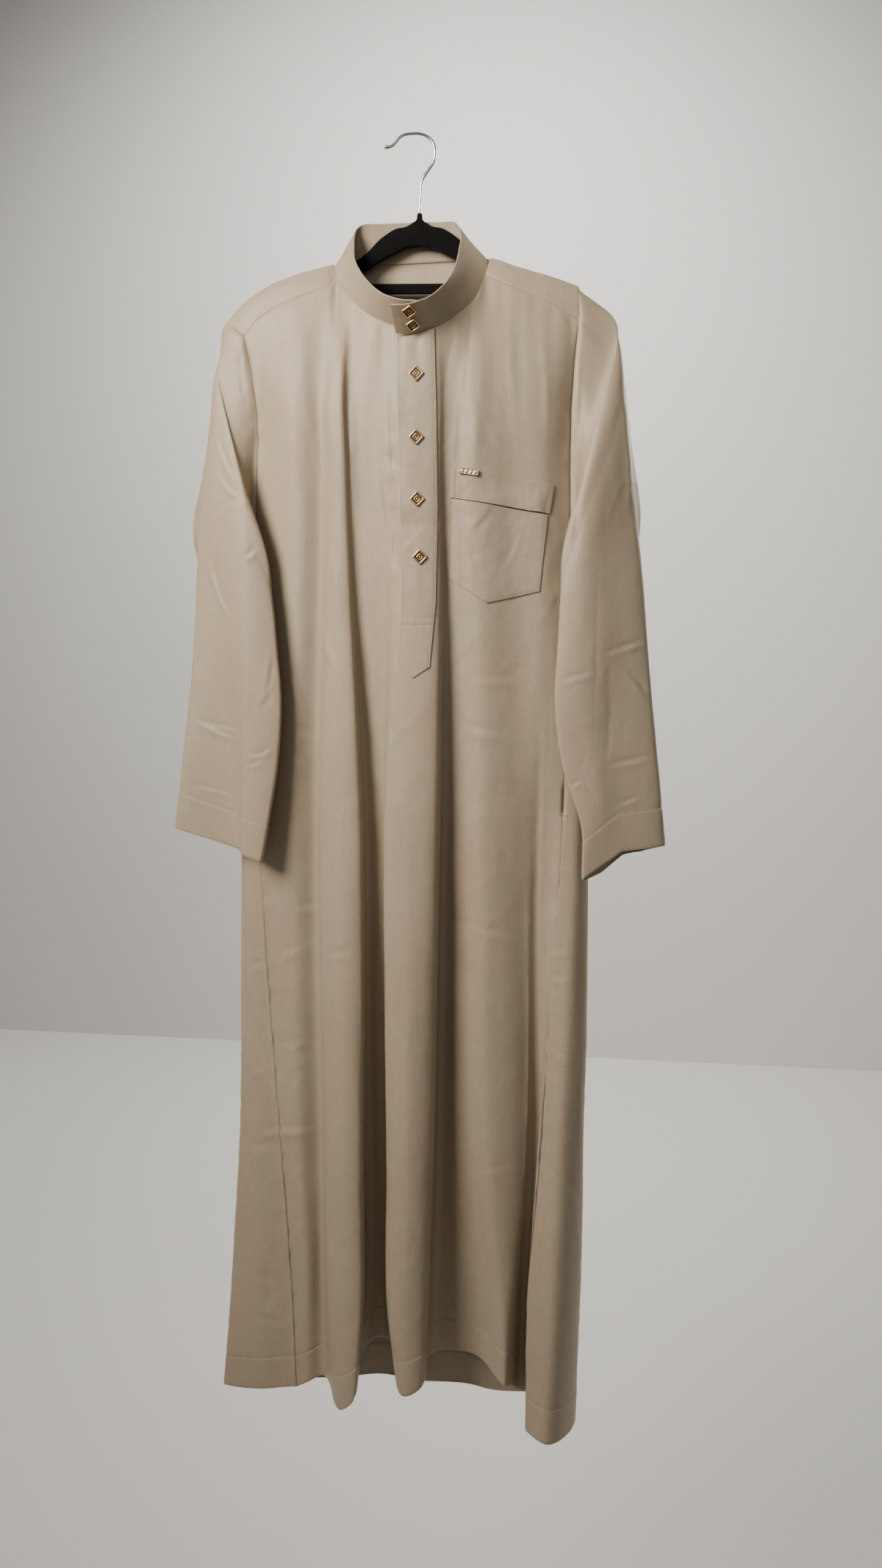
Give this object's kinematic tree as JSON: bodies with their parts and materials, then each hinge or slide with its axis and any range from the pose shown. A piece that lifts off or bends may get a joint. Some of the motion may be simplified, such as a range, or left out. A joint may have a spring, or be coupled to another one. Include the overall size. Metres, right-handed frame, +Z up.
{
  "type": "thobe robe on hanger",
  "caption": "Long-sleeved ankle-length robe with a stand collar, buttoned half placket and chest pocket, hanging on a flocked hanger",
  "frame": {"origin": "where the underside of the hanger hook's crown rests on its peg", "axes": "+X to the viewer's right across the front, +Y from the front to the back of the robe, +Z up"},
  "size_m": [0.635, 0.1158, 1.6586],
  "materials": {
    "suiting": "fine woven suiting, soft sheen",
    "gold_plate": "polished",
    "black_flock": "flocked",
    "chrome_wire": "polished"
  },
  "bodies": {
    "root": {"front": "suiting", "back": "suiting", "gore_left": "suiting", "gore_right": "suiting", "yoke": "suiting", "sleeve_left": "suiting", "sleeve_right": "suiting", "collar": "suiting", "placket": "suiting", "pocket": "suiting", "pocket_band": "suiting", "placket_button_1": "gold_plate", "placket_button_2": "gold_plate", "placket_button_3": "gold_plate", "placket_button_4": "gold_plate", "collar_button_1": "gold_plate", "collar_button_2": "gold_plate", "pocket_pin": "gold_plate", "hanger_body": "black_flock", "hanger_hook": "chrome_wire"}
  },
  "joints": []
}
